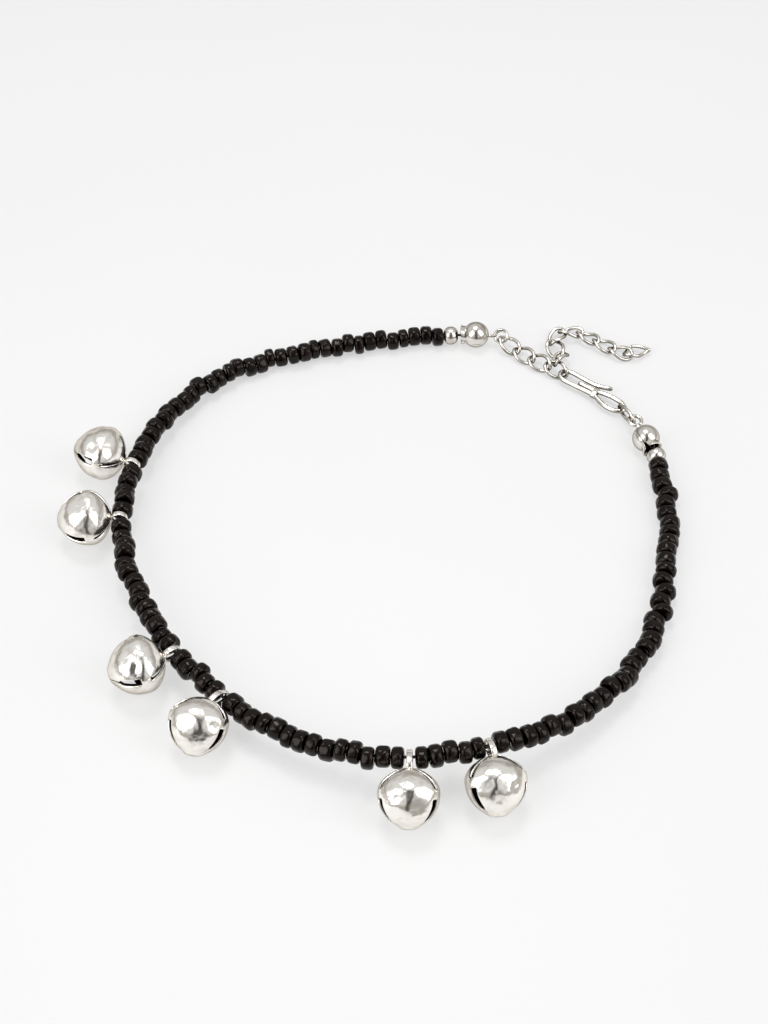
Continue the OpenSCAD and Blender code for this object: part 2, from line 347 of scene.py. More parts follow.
# %% Silver
def silver(name, tint, dark, rough, dents, edge, painted_flank_shade=None):
    """Plate with dull patches, fine scratches and dents this deep.

    Its reflections fade to the share `edge` at the edges of a form. Wire also has a
    dark colour of painted shade on its flanks, which shows wherever its per-point
    painted light is low.
    """
    plate = Finish(name)
    wear = plate.noise(1.6, 3.0)
    lines = plate.noise(0.12, 2.0, stretch=(1.0, 5.0, 2.0))
    dull = ((wear - 0.5) * 4).clamped()
    colour = plate.mix(dull, tint, dark)
    # Painted light on wire: bright plate where its painted light is high, painted shade on the
    # flanks
    if painted_flank_shade:
        rub = plate.node("ShaderNodeAttribute", {"attribute_name": "rub"}, output=2)
        colour = plate.mix(rub, painted_flank_shade, colour)
    relief = plate.bump(plate.noise(1.2, 1.0), dents, plate.bump(lines, 0.004))
    return plate.surface(Base_Color=colour, Metallic=1.0, Normal=relief,
                         Roughness=rough + 0.12 * wear + 0.05 * lines,
                         Specular_Tint=(edge, edge * 0.93, edge * 0.82, 1))


BELL_SILVER = silver("bell silver", tint=(0.97, 0.94, 0.89), dark=(0.74, 0.69, 0.62),
                     rough=0.12, dents=0.11, edge=0.5)
# Wire: an upper side of painted light, and flanks painted dark as painted shade
WIRE_SILVER = silver("wire silver", tint=(0.84, 0.81, 0.75), dark=(0.50, 0.455, 0.39),
                     rough=0.14, dents=0.02, edge=0.3, painted_flank_shade=(0.09, 0.075, 0.06))
BALL_SILVER = silver("ball silver", tint=(0.78, 0.75, 0.7), dark=(0.52, 0.475, 0.42),
                     rough=0.12, dents=0.03, edge=0.3)
# Near-black inner side of bells and tips, as painted shade in the hollows
PAINTED_SHADE_INSIDE = silver("inside with painted shade", tint=(0.07, 0.055, 0.045), dark=(0.03, 0.022, 0.018),
                rough=0.35, dents=0.02, edge=0.2)
for plate in (BELL_SILVER, WIRE_SILVER, BALL_SILVER, PAINTED_SHADE_INSIDE):
    print("finish:", plate.name, "-", len(plate.node_tree.nodes), "nodes")

# %% [markdown]
# ## The string's route
# Beads, bells and tips all sit on one smooth line through a few points, so their
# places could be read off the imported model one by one. It is shorter to draw the
# same line again: a curve through the points, and a way to ask where the string is
# after so many millimetres and which way it runs there.

# %% Draw the route
# The middle of the object's outer box, taken off every place to bring it to the origin
MIDDLE = np.array([0.1, -0.1, 0])
# From beyond the left tip along the back, round the left and the front, to the right
ROUTE = np.array([
    [21.2, 44.6, 2.1], [17.4, 45.0, 2.15], [11, 45.1, 1.65], [3.6, 44.4, 1.6],
    [-3.9, 43.2, 1.6], [-11.2, 41.3, 1.6], [-18.3, 38.9, 1.6], [-24.7, 35.3, 1.9],
    [-30.2, 30.1, 2.3], [-33.9, 23.7, 2.8], [-36.2, 16.5, 3.3], [-37.4, 9.2, 3.7],
    [-37.3, 1.8, 3.8], [-35.8, -5.5, 3.8], [-32.9, -12.6, 4.0], [-29.1, -18.9, 4.2],
    [-24.4, -24.7, 4.1], [-18.8, -29.8, 4.1], [-12.8, -34, 4.4], [-6, -37.1, 4.8],
    [1.2, -38.8, 5.2], [8.7, -38.9, 5.5], [16, -37.3, 5.4], [23, -34.7, 4.8],
    [29.2, -30.9, 4.0], [34.5, -25.8, 3.1], [38.8, -19.5, 2.3], [41.9, -12.7, 1.8],
    [43.8, -5.4, 1.6], [44.8, 2, 1.6], [45.3, 9.4, 1.6], [45.2, 16.2, 1.6],
    [43.7, 20.7, 2.1], [42.4, 24.9, 2.1],
]) - MIDDLE
ROUTE_STEPS = 12


def smooth(points, steps):
    """The smooth curve through all the points."""
    ends = [2 * points[0] - points[1], *points, 2 * points[-1] - points[-2]]
    curve = []
    for a, b, c, d in zip(ends, ends[1:], ends[2:], ends[3:]):
        for t in np.arange(steps) / steps:
            curve.append(0.5 * (2 * b + (c - a) * t + (2 * a - 5 * b + 4 * c - d) * t**2
                                + (3 * b - a - 3 * c + d) * t**3))
    return np.array(curve + [points[-1]])


line = smooth(ROUTE, ROUTE_STEPS)
line_steps = np.linalg.norm(np.diff(line, axis=0), axis=1)
line_length = np.concatenate([[0], np.cumsum(line_steps)])
print("route of", round(line_length[-1]), "mm")

# %% Ask where the string is
LOOK_ROUND = 0.4


def string_at(length):
    """The place of the string after so many millimetres."""
    return np.array([np.interp(length, line_length, line[:, axis]) for axis in range(3)])


def string_dir(length):
    """The way the string runs there."""
    ahead = string_at(length + LOOK_ROUND) - string_at(length - LOOK_ROUND)
    return ahead / np.linalg.norm(ahead)


def frame_z(origin, z, hint=(0, 0, 1)):
    """A place with this origin and Z axis, its X axis as near the hint as it can be."""
    z, hint = Vector(z), Vector(hint)
    x = (hint - hint.dot(z) * z).normalized()
    turn = Matrix((x, z.cross(x), z)).transposed().to_4x4()
    return Matrix.Translation(Vector(origin)) @ turn


# The first step of the route leads from its free end to the left tip
TIP_LENGTH = line_length[ROUTE_STEPS]
print("left tip at", string_at(TIP_LENGTH).round(1), "mm")

# %% Count the beads along it
BEAD_D, HOLE_D, BEAD_PITCH, BEAD_GAP, RING_ROOM = 3.1, 1.0, 1.9, 0.14, 1.4
# Beads on each stretch between the bells, and their pitch as a share of the mean
RUNS = [33, 5, 14, 5, 14, 5, 35]
RUN_SHARE = [0.995, 0.995, 0.97, 0.97, 1, 1.005, 0.998]
PITCH_VARIES = 0.16
# Length from the middle of a tip to the nearest bead, on the left and on the right
LEFT_LENGTH, RIGHT_LENGTH = 5.5, 5


def wobble(i):
    """A number from -1 to 1 that jumps from bead to bead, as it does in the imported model."""
    return np.sin(np.radians(137.5 * i)) * np.cos(np.radians(47 * i + 20))


bead_start, bead_pitch, ring_at, beside_ring = [], [], [], set()
length = TIP_LENGTH + LEFT_LENGTH
for run, share in zip(RUNS, RUN_SHARE):
    if bead_start:
        ring_at.append(length + RING_ROOM / 2)
        beside_ring |= {len(bead_start) - 1, len(bead_start)}
        length += RING_ROOM
    for _ in range(run):
        varied = 1 + PITCH_VARIES * wobble(len(bead_start))
        bead_start.append(length)
        bead_pitch.append(BEAD_PITCH * share * varied)
        length += bead_pitch[-1]
STRING_END = length
print(len(bead_start), "beads,", len(ring_at), "bells, string of",
      round(STRING_END - bead_start[0], 1), "mm")

# %% [markdown]
# ## Seed beads
# A seed bead is a slice of glass tube that was tumbled hot, so its rims are round
# and its hole is nearly sharp-edged. A torus would look like a ring doughnut, too
# thin at the hole. A short cylinder is better: its two ends are inset, bridged into
# a hole and bevelled. It is modelled once, with few faces, since it is repeated
# more than a hundred times. Each copy then gets its own length, a slight lean and a
# little play on the thread, because no two beads on the real string sit alike.

# %% Model one bead
BEAD_SIDES = 18
MEAN_LENGTH = BEAD_PITCH - BEAD_GAP
RIM_BEVEL, HOLE_BEVEL = 0.54, 0.16
# How far the middle of a flat side is from the axis, as a share of its corners
FLAT = np.cos(np.pi / BEAD_SIDES)
# What lies beyond this share of the length is at an end, and what comes this near to
# a circle is on it
END_SHARE, CIRCLE_SLACK = 0.4, 0.03


def at_end(z):
    """Whether something at this height lies at one of the bead's two ends."""
    return abs(z) > END_SHARE * MEAN_LENGTH


def model_bead():
    """A short tube with well rounded rims and a narrow bevel at its hole."""
    bpy.ops.mesh.primitive_cylinder_add(vertices=BEAD_SIDES, radius=BEAD_D / 2,
                                        depth=MEAN_LENGTH)
    bead = added("bead")
    choose(bead, "FACE", lambda x, y, z: at_end(z))
    bpy.ops.mesh.inset(thickness=(BEAD_D - HOLE_D) / 2)
    bpy.ops.mesh.bridge_edge_loops()
    done()
    least = (1 - CIRCLE_SLACK) * FLAT * BEAD_D / 2
    choose(bead, "EDGE", lambda x, y, z: at_end(z) and np.hypot(x, y) > least)
    bpy.ops.mesh.bevel(offset=RIM_BEVEL, segments=3, profile=0.5, affect="EDGES")
    done()
    most = (1 + CIRCLE_SLACK) * FLAT * HOLE_D / 2
    choose(bead, "EDGE", lambda x, y, z: at_end(z) and np.hypot(x, y) < most)
    bpy.ops.mesh.bevel(offset=HOLE_BEVEL, segments=1, affect="EDGES")
    done()
    close_normals(bead)
    bpy.ops.object.shade_smooth()
    return bead


one_bead = model_bead()
print("one bead:", len(one_bead.data.polygons), "faces")

# %% String the copies
# The lean is in degrees, the play and the gap to the next bead are in millimetres
LEAN, PLAY, NEXT_GAP, TABLE_GAP = 4.2, 0.25, 0.07, 0.02
LEAN_MOST, PLAY_MOST = 1.6, 1.8
SIZE_VARIES, SIZE_TURN, OVAL_VARIES, HELD_BY_RING = 0.02, 71, 0.015, 0.3
ANY_TURN = 6.28

chance = np.random.default_rng(11)
beads = []
for i, (start, pitch) in enumerate(zip(bead_start, bead_pitch)):
    loose = HELD_BY_RING if i in beside_ring else 1.0
    middle = start + pitch / 2
    size = 1 + SIZE_VARIES * np.sin(np.radians(SIZE_TURN * i))
    oval = 1 + OVAL_VARIES * chance.normal()
    lean = np.clip(chance.normal(size=2), -LEAN_MOST, LEAN_MOST) * np.radians(LEAN) * loose
    shift = np.clip(chance.normal(size=2), -PLAY_MOST, PLAY_MOST) * PLAY * loose
    spot = string_at(middle)
    radius = BEAD_D / 2 * size * max(oval, 1 / oval)
    # The bead's X axis points up, so this keeps it off the table
    shift[0] = max(shift[0], radius + TABLE_GAP - spot[2])
    longer = (pitch - NEXT_GAP) / MEAN_LENGTH
    place = (frame_z(spot, string_dir(middle)) @ Matrix.Translation((shift[0], shift[1], 0))
             @ Matrix.Rotation(lean[0], 4, "X") @ Matrix.Rotation(lean[1], 4, "Y")
             @ Matrix.Rotation(chance.uniform(0, ANY_TURN), 4, "Z")
             @ Matrix.Diagonal((size * oval, size / oval, longer, 1)))
    beads.append(lay(copied(one_bead, f"bead_{i}"), place))
seed_beads = joined("glass_seed_beads", *beads)
bpy.data.objects.remove(one_bead)
finish(seed_beads, GLASS, "black_glass", "seed_beads")

# %% [markdown]
# ## Bells
# Each bell is pressed from thin sheet: three petals meet at the ring, and again at
# a small bridge half way down. Between them run seam slots, narrow above the bridge
# and wider below it, where each one starts in a round hole. The body could be cut
# from a block with booleans, but sheet metal is better made as sheet. So one petal
# is a third of a sphere, pulled out onto a barrel with Shrinkwrap so that the bell
# gets its three-sided form. The slots are faces left out, the three petals are
# joined, the shoulder is drawn out a little and the tip is pulled to a soft point.
# Solidify gives the sheet its thickness, and a bell that would reach into the table
# is lifted onto it.

# %% A barrel to pull the petals onto
PETAL_R, BULGE_R = 3.9, 5.0
ARC_POINTS, ARC_FROM_X, SPIN_STEPS = 160, 1, 120


def model_barrel():
    """The surface that an arc sweeps when it is spun about the Y axis."""
    bpy.ops.mesh.primitive_circle_add(vertices=ARC_POINTS, radius=BULGE_R,
                                      location=(PETAL_R - BULGE_R, 0, 0))
    barrel = added("barrel")
    choose(barrel, "VERT", lambda x, y, z: x < ARC_FROM_X)
    bpy.ops.mesh.delete(type="VERT")
    bpy.ops.mesh.select_all(action="SELECT")
    bpy.ops.mesh.spin(steps=SPIN_STEPS, angle=2 * np.pi, center=(0, 0, 0), axis=(0, 1, 0))
    done()
    close_normals(barrel)
    return barrel


barrel = model_barrel()
print("barrel:", len(barrel.data.polygons), "faces")

# %% One petal with its share of the slots
COLUMNS, ROWS = 96, 44
COLUMN = np.degrees(2 * np.pi / COLUMNS)
HALF_PETAL, BARREL_REACH = 60, 1.2
BRIDGE_H, BRIDGE_Z = 1.7, 0.7
BRIDGE_TOP, BRIDGE_FOOT = BRIDGE_Z + BRIDGE_H / 2, BRIDGE_Z - BRIDGE_H / 2
# Below this height a slot is half as wide, and nearer the axis the sheet is whole
NARROW_Z, TIP_WHOLE, POLE_WHOLE = -2.9, 0.45, 0.9
SLOT_HOLE_R, SLOT_HOLE_BELOW = 0.62, 0.4


def left_out(x, y, z):
    """Whether a face is outside the petal, in a slot, or in a slot's round hole."""
    to_seam = HALF_PETAL - abs(np.degrees(np.arctan2(y, x)))
    reach = np.hypot(x, y)
    width = (2 if z > NARROW_Z else 1) * COLUMN
    tip_slot = z < BRIDGE_FOOT and to_seam < width and reach > TIP_WHOLE
    ring_slot = z > BRIDGE_TOP and to_seam < COLUMN and reach > POLE_WHOLE
    from_hole = np.hypot(np.radians(to_seam) * reach, z - BRIDGE_FOOT + SLOT_HOLE_BELOW)
    return to_seam < 0 or tip_slot or ring_slot or from_hole < SLOT_HOLE_R


def model_petal():
    """A third of a sphere pulled onto the barrel, with its sides of the slots left out."""
    bpy.ops.mesh.primitive_uv_sphere_add(segments=COLUMNS, ring_count=ROWS, radius=PETAL_R)
    petal = added("petal")
    modify(petal, "SHRINKWRAP", target=barrel, wrap_method="PROJECT",
           project_limit=BARREL_REACH, use_negative_direction=True,
           use_positive_direction=True)
    choose(petal, "FACE", left_out)
    bpy.ops.mesh.delete(type="FACE")
    done()
    return petal


one_petal = model_petal()
print("petal:", len(one_petal.data.polygons), "faces")

# %% Three petals joined into a bell
SEAM_MERGE = 0.04
# Rows of points that are drawn out or in: height, width and how far the pull reaches
DRAWN_ROWS = [(1.9, 1.07, 2.2), (-2.3, 0.98, 1.8)]
ROW_HALF = 0.3
TIP_FROM, TIP_PULL, TIP_PULL_REACH = -3.7, -0.3, 1.4


def model_bell_sheet():
    """The three petals as one sheet, with a fuller shoulder and a pointed tip."""
    petals = [one_petal]
    for turn in (2 * HALF_PETAL, 4 * HALF_PETAL):
        petal = copied(one_petal, "petal")
        petal.data.transform(Matrix.Rotation(np.radians(turn), 4, "Z"))
        petals.append(petal)
    sheet = joined("bell_sheet", *petals)
    choose(sheet, "FACE", lambda x, y, z: True)
    bpy.ops.mesh.remove_doubles(threshold=SEAM_MERGE)
    bpy.ops.mesh.normals_make_consistent(inside=False)
    done()
    for height, width, pull_reach in DRAWN_ROWS:
        choose(sheet, "VERT", lambda x, y, z: abs(z - height) < ROW_HALF)
        bpy.ops.transform.resize(value=(width, width, 1), use_proportional_edit=True,
                                 proportional_edit_falloff="SMOOTH",
                                 proportional_size=pull_reach)
        done()
    choose(sheet, "VERT", lambda x, y, z: z < TIP_FROM)
    bpy.ops.transform.translate(value=(0, 0, TIP_PULL), use_proportional_edit=True,
                                proportional_edit_falloff="SHARP",
                                proportional_size=TIP_PULL_REACH)
    done()
    return sheet


bell_sheet = model_bell_sheet()
bpy.data.objects.remove(barrel)
print("bell sheet:", len(bell_sheet.data.polygons), "faces")

# %% [markdown]
# The ring is a strip of the same sheet, bent round and soldered to the pole. It is
# an open cylinder with a thickness, and its edges are bevelled. It stands across
# the string, so that the string runs straight through it, and one side of it is
# drawn out until it meets the bell's pole. Handling has dented the thin petals. A
# dent is pushed in by moving one point with proportional editing, before the sheet
# gets its thickness. Each body keeps the place of its packed bell, but is tilted and
# turned a little further, as it lies in the photograph.

# %% The ring strip
RING_D, STRIP_W, STRIP_T, RING_DROP = 2.5, 0.8, 0.25, 0.35
RING_SIDES, RING_PULL_REACH = 40, 2.2
FAR_SIDE = -0.98 * RING_D / 2


def model_ring(reach):
    """The strip round the string, drawn out on one side to meet the bell this far away."""
    bpy.ops.mesh.primitive_cylinder_add(vertices=RING_SIDES, radius=RING_D / 2,
                                        depth=STRIP_W, end_fill_type="NOTHING")
    ring = added("ring")
    choose(ring, "VERT", lambda x, y, z: x < FAR_SIDE)
    bpy.ops.transform.translate(value=(RING_D / 2 - reach, 0, 0), use_proportional_edit=True,
                                proportional_edit_falloff="ROOT",
                                proportional_size=RING_PULL_REACH)
    done()
    modify(ring, "SOLIDIFY", thickness=STRIP_T, offset=-1, use_even_offset=True)
    soften(ring, width=0.08, segments=2, sharp=1.0)
    ring.data.materials.append(BELL_SILVER)
    return ring


# %% Dents
# Each dent: azimuth from the petal that faces up, height along the bell, depth, radius
DENTS = [
    [(30, -0.6, 0.22, 1.3), (12, 1.6, 0.12, 1.8), (-25, -1.5, 0.15, 1.6)],
    [(-20, -0.5, 0.15, 1.8), (25, 1.0, 0.1, 1.6)],
    [(34, -0.2, 0.2, 1.3), (18, 0.4, 0.1, 1.4), (5, -1.0, 0.12, 1.3), (-10, 1.3, 0.1, 1.6)],
    [(14, -1.6, 0.16, 1.9), (-12, -0.3, 0.14, 1.6), (38, 0.2, 0.18, 1.2)],
    [(24, -1.0, 0.2, 1.7), (-28, -1.6, 0.14, 1.2), (-20, 0.2, 0.08, 1.3), (35, 0.9, 0.1, 1.2)],
    [(-12, -1.9, 0.12, 1.4), (26, -0.6, 0.14, 1.5), (-30, 0.3, 0.1, 1.2)],
]
SAME_POINT = 1e-4


def dent(sheet, azimuth, height, depth, radius):
    """Push the sheet in at the point that is nearest to this azimuth and height."""
    spots = np.array([point.co for point in sheet.data.vertices])
    ray = np.array([np.cos(np.radians(azimuth)), np.sin(np.radians(azimuth))])
    wanted = np.array([*(ray * np.sqrt(PETAL_R**2 - height**2)), height])
    nearest = spots[np.argmin(((spots - wanted) ** 2).sum(axis=1))]
    push = -depth * nearest / np.linalg.norm(nearest)
    choose(sheet, "VERT", lambda x, y, z: np.abs(nearest - (x, y, z)).max() < SAME_POINT)
    bpy.ops.transform.translate(value=push, use_proportional_edit=True,
                                proportional_edit_falloff="SMOOTH", proportional_size=radius)
    done()


print(sum(len(row) for row in DENTS), "dents on", len(DENTS), "bells")

# %% How the six bells lie
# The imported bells: the way the tip points, how far it dips below level, and how far
# the middle of the body is from the string
BELLS = [(159, -7, 5.6), (182, -3, 5.4), (202, 2, 5.65),
         (239, -1, 5.55), (268, 11, 5.6), (273, 11, 5.55)]
# How each body hangs on its ring: the way its tip points, its dip, and its turn about
# its own length
HANGS = [(165, -5, 2), (185, 3, 30), (198, 5, 7), (258, 30, 4), (269, 36, -5), (277, 32, 8)]


def out_of(azimuth, dip):
    """The way from the string to the tip of a bell."""
    azimuth, dip = np.radians(azimuth), np.radians(dip)
    return np.array([np.cos(azimuth) * np.cos(dip), np.sin(azimuth) * np.cos(dip),
                     -np.sin(dip)])


for number, ring_length in enumerate(ring_at, 1):
    print("bell", number, "hangs", round(ring_length - bead_start[0]), "mm along the beads")

# %% Make the six bells
BELL_WALL, RIM_CREASE, RING_SUNK = 0.35, 0.55, 0.1
POLE = PETAL_R - RING_SUNK


def packed_middle(string, along, azimuth, dip, reach):
    """The middle of a packed bell, whose ring is bent at the pole to stand across."""
    inward = -out_of(azimuth, dip)
    bend = np.arcsin(along @ inward)
    across = along - (along @ inward) * inward
    across /= np.linalg.norm(across)
    rise = reach - POLE
    return string - (POLE + rise * np.cos(bend)) * inward + rise * np.sin(bend) * across


def make_bell(number, ring_length, packed, hang, dents):
    """Dent the sheet, thicken it, hang it on the string and join it to its ring."""
    string, along = string_at(ring_length), string_dir(ring_length)
    middle = packed_middle(string, along, *packed)
    azimuth, dip, turn = hang
    inward = -out_of(azimuth, dip)
    body = copied(bell_sheet, f"body_{number}")
    for spot in dents:
        dent(body, *spot)
    sheet_metal(body, BELL_WALL, BELL_SILVER, PAINTED_SHADE_INSIDE, rim_crease=RIM_CREASE)
    modify(body, "SUBSURF", levels=1, render_levels=1)
    body.data.transform(Matrix.Rotation(np.radians(turn), 4, "Z"))
    middle[2] += set_on_table(lay(body, frame_z(middle, inward)))
    to_pole = middle + POLE * inward - string
    to_pole -= (to_pole @ along) * along
    reach = np.linalg.norm(to_pole)
    ring = model_ring(reach - RING_DROP)
    lay(ring, frame_z(string + to_pole * RING_DROP / reach, along, -to_pole))
    bell = joined(f"jingle_bell_{number}", body, ring)
    shade(bell, degrees=50)
    finish(bell, BELL_SILVER, "silver", f"bell_{number}")


for number, row in enumerate(zip(ring_at, BELLS, HANGS, DENTS), 1):
    make_bell(number, *row)
bpy.data.objects.remove(bell_sheet)

# %% [markdown]
# ## Bead tips
# A bead tip hides the knot at the end of the thread. It is a small hollow ball in
# two cups, open on the side of the beads, with a lip above and below the opening
# and a loop on the far side. Here each cup is half a sphere with its pole at the
# loop: the mouth is cut off, the lip is extruded from the mouth's edge in two steps
# that flare a little, and Solidify turns the sheet into metal. The two cups leave a
# fine seam between them, and each tip is rolled about the string as it lies.

# %% One cup with its lip
TIP_R, TIP_WALL, SEAM_W, LIP_W = 2.15, 0.25, 0.1, 2.8
MOUTH_Z, LIP_END, LIP_FLARES = -1.6, -2.45, (0.02, 0.22)
CUP_COLUMNS, CUP_ROWS, AT_MOUTH = 40, 26, 0.01


def model_cup():
    """Half a hollow ball with its mouth cut off and a lip along the mouth."""
    bpy.ops.mesh.primitive_uv_sphere_add(segments=CUP_COLUMNS, ring_count=CUP_ROWS,
                                         radius=TIP_R)
    cup = added("cup")
    choose(cup, "FACE", lambda x, y, z: True)
    bpy.ops.mesh.bisect(plane_co=(SEAM_W / 2, 0, 0), plane_no=(-1, 0, 0), clear_outer=True)
    bpy.ops.mesh.select_all(action="SELECT")
    bpy.ops.mesh.bisect(plane_co=(0, 0, MOUTH_Z), plane_no=(0, 0, -1), clear_outer=True)
    done()
    choose(cup, "EDGE", lambda x, y, z: z < MOUTH_Z + AT_MOUTH and abs(y) < LIP_W / 2)
    for flare in LIP_FLARES:
        step = (flare, 0, (LIP_END - MOUTH_Z) / len(LIP_FLARES))
        bpy.ops.mesh.extrude_region_move(TRANSFORM_OT_translate={"value": step})
    done()
    sheet_metal(cup, TIP_WALL, BALL_SILVER, PAINTED_SHADE_INSIDE)
    soften(cup, width=0.05, segments=2, sharp=0.9)
    # The lip gets the outer plate on both sides, without the inside's painted shade
    for face in cup.data.polygons:
        if face.center.z < MOUTH_Z:
            face.material_index = 0
    return cup


one_cup = model_cup()
print("cup:", len(one_cup.data.polygons), "faces")

# %% [markdown]
# ## Wire
# Loops, links and the hook are all bent from round wire. Extruding a circle step by
# step would do it, but a curve with a round bevel is what wire really is: one line
# and one thickness. It is turned into a mesh, and an open wire gets its two ends
# closed and made a little thinner.

# %% Bend wire along a line
WIRE_END = 0.7


def wire(name, points, thickness, closed=False, sides=12):
    """Round wire of this thickness along the points, as a mesh."""
    curve = bpy.data.curves.new(name, "CURVE")
    curve.dimensions = "3D"
    curve.bevel_depth = thickness / 2
    curve.bevel_resolution = sides // 2 - 2
    curve.use_fill_caps = not closed
    spline = curve.splines.new("POLY")
    spline.points.add(len(points) - 1)
    for spot, point in zip(spline.points, points):
        spot.co = (*point, 1)
    spline.use_cyclic_u = closed
    if not closed:
        for spot in (spline.points[0], spline.points[-1]):
            spot.radius = WIRE_END
    piece = bpy.data.objects.new(name, curve)
    scene.collection.objects.link(piece)
    pick(piece)
    bpy.ops.object.convert(target="MESH")
    piece = bpy.context.object
    close_normals(piece)
    shade(piece, degrees=50)
    return piece


# %% The loop of a bead tip
TIP_WIRE, LOOP_REACH, LOOP_DROP = 0.6, 4.2, 0.35
LOOP_R = 2.6 / 2 - TIP_WIRE / 2
LOOP_OPEN, LOOP_POINTS, NECK_SUNK = 18, 40, 0.15


def loop_wire():
    """A loop bent round from the ball's neck, with a small gap where its end meets it."""
    turns = np.radians(np.linspace(-90, 270 - LOOP_OPEN, LOOP_POINTS))
    ring = [(0, -LOOP_R * np.cos(t), LOOP_R * np.sin(t)) for t in turns]
    neck = [(0, 0, -LOOP_REACH + TIP_R - NECK_SUNK), (0, 0, -LOOP_R - NECK_SUNK)]
    return wire("loop", [*neck, *ring[1:]], TIP_WIRE)


# %% Close both ends of the string with a tip
def make_tip(number, at, towards, cup_turn, loop_turn):
    """Two cups and a loop, rolled by these degrees about the string and laid there."""
    upper = copied(one_cup, "upper")
    lower = copied(one_cup, "lower")
    upper.data.transform(Matrix.Rotation(np.radians(cup_turn), 4, "Z"))
    lower.data.transform(Matrix.Rotation(np.radians(cup_turn + 180), 4, "Z"))
    loop = loop_wire()
    loop.data.materials.append(BALL_SILVER)
    loop.data.transform(Matrix.Translation((-LOOP_DROP, 0, LOOP_REACH))
                        @ Matrix.Rotation(np.radians(loop_turn), 4, "Z"))
    tip = joined(f"clamshell_tip_{number}", upper, lower, loop)
    set_on_table(lay(tip, frame_z(at, towards)))
    shade(tip, degrees=40)
    finish(tip, BALL_SILVER, "silver", f"bead_tip_{number}")


make_tip(1, string_at(TIP_LENGTH), -string_dir(TIP_LENGTH), cup_turn=8, loop_turn=40)
right_tip = STRING_END + RIGHT_LENGTH
make_tip(2, string_at(right_tip), string_dir(right_tip), cup_turn=45, loop_turn=0)
bpy.data.objects.remove(one_cup)

# %% [markdown]
# ## Chain
# The extension chain is a curb chain: oval links of round wire, each with its ends
# twisted against each other so that the chain lies flat. One link is bent once and
# copied, and a short table lays every copy as it lies in the photograph: its
# middle, its heading, its slope and its roll about its own length. The last link
# is bent on its own, because its free end is pinched to a point. Each point of the
# wire keeps a number for painted light, bright on its upper side and dark as painted
# shade on its flanks, for the finish.

# %% The line and the place of a link
LINK_WIRE, LINK_LEN, LINK_W, LINK_TWIST = 0.56, 4.6, 3.1, 38
PINCH, PINCH_LONGER, PINCH_ASIDE = 0.75, 0.15, 0.9


def link_line(link_length, width, twist, pinch=0.0, steps=48):
    """Middle line of a link: an oval whose ends are twisted and may be pinched to a point."""
    turns = 2 * np.pi * np.arange(steps) / steps
    a, b = (link_length - LINK_WIRE) / 2, (width - LINK_WIRE) / 2
    roll = np.radians(twist) * np.cos(turns)
    far = np.maximum(np.cos(turns), 0) ** 2
    side = b * np.sin(turns) * (1 - pinch * np.sqrt(far))
    return np.stack([a * np.cos(turns) * (1 + PINCH_LONGER * pinch * far),
                     side * np.cos(roll) - PINCH_ASIDE * pinch * far,
                     side * np.sin(roll)], axis=1)


def laid(place):
    """The place of a link or hook: middle, heading, slope and roll."""
    middle = Matrix.Translation(Vector(np.array(place[:3]) - MIDDLE))
    heading, slope, roll = np.radians(place[3:])
    return (middle @ Matrix.Rotation(heading, 4, "Z") @ Matrix.Rotation(-slope, 4, "Y")
            @ Matrix.Rotation(roll, 4, "X"))


# Painted light on wire: how brightly each side is painted, all over, on its upper
# side and on its near side
PAINTED_LIT_ALL, PAINTED_LIT_UP, PAINTED_LIT_NEAR = 0.05, 1.1, 0.35


def with_painted_light(piece):
    """Keep, per point, how brightly its side of the wire is painted: painted light on top and
    towards the camera, painted shade on the flanks.
    """
    rub = piece.data.attributes.new("rub", "FLOAT", "POINT")
    for point, value in zip(piece.data.vertices, rub.data):
        up, away = point.normal.z, point.normal.y
        value.value = min(max(PAINTED_LIT_ALL + PAINTED_LIT_UP * up - PAINTED_LIT_NEAR * away, 0), 1)
    return piece


one_link = wire("link", link_line(LINK_LEN, LINK_W, LINK_TWIST), LINK_WIRE, closed=True)
end_link = wire("end_link", link_line(LINK_LEN, LINK_W, LINK_TWIST, PINCH), LINK_WIRE,
                closed=True)
print("one link:", len(one_link.data.polygons), "faces")

# %% Lay the chain and the hook's link
LINKS = [
    [23.0, 43.4, 1.35, -42, -13, 10], [25.4, 41.35, 1.05, -42, 2, 22],
    [27.85, 39.35, 1.2, -36, 4, 33], [30.45, 37.65, 1.3, -33, -3, 40],
    [31.15, 39.9, 1.7, 68, -18, -40], [30.7, 42.6, 1.15, 113, 4, -24],
    [31.05, 45.5, 1.2, 60, 1, -21], [33.55, 46.7, 1.1, 2, -4, -19],
    [36.3, 45.65, 0.95, -35, 0, -16], [38.9, 43.8, 0.9, -37, 0, -8],
    [41.5, 42.15, 0.85, -22, -4, -1], [44.0, 42.35, 0.85, 21, 2, -2],
]
HOOK_LINK_LEN, HOOK_LINK_W = 5, 2.8
HOOK_LINK_PLACE = [41.05, 27.35, 1.45, -64, 12, 99]

for number, place in enumerate(LINKS, 1):
    link = copied(end_link if number == len(LINKS) else one_link, f"curb_link_{number}")
    finish(with_painted_light(lay(link, laid(place))), WIRE_SILVER, "silver", f"link_{number}")
bpy.data.objects.remove(one_link)
bpy.data.objects.remove(end_link)
hook_link = wire("oval_hook_link", link_line(HOOK_LINK_LEN, HOOK_LINK_W, 0), LINK_WIRE,
                 closed=True)
finish(with_painted_light(lay(hook_link, laid(HOOK_LINK_PLACE))), WIRE_SILVER, "silver", "hook_link")

# %% [markdown]
# ## Hook
# The hook is one wire bent flat: a short end beside the shank, round the eye, back
# along the shank, round the bend and out to a blunt tip. A small sleeve is pressed
# round the two wires to hold the eye shut. The sleeve is a short cylinder whose
# halves are moved apart, so that it goes round both wires, and then bevelled.

# %% The sleeve
HOOK_WIRE, WRAP_X, WRAP_LEN, WRAP_WALL = 0.76, 5.5, 0.9, 0.15
# The middle between the two wires, and how far each half of the sleeve moves from it
WRAP_Y, WRAP_SPREAD = 0.39, 0.44
WRAP_SIDES, OFF_MIDDLE = 28, 0.02


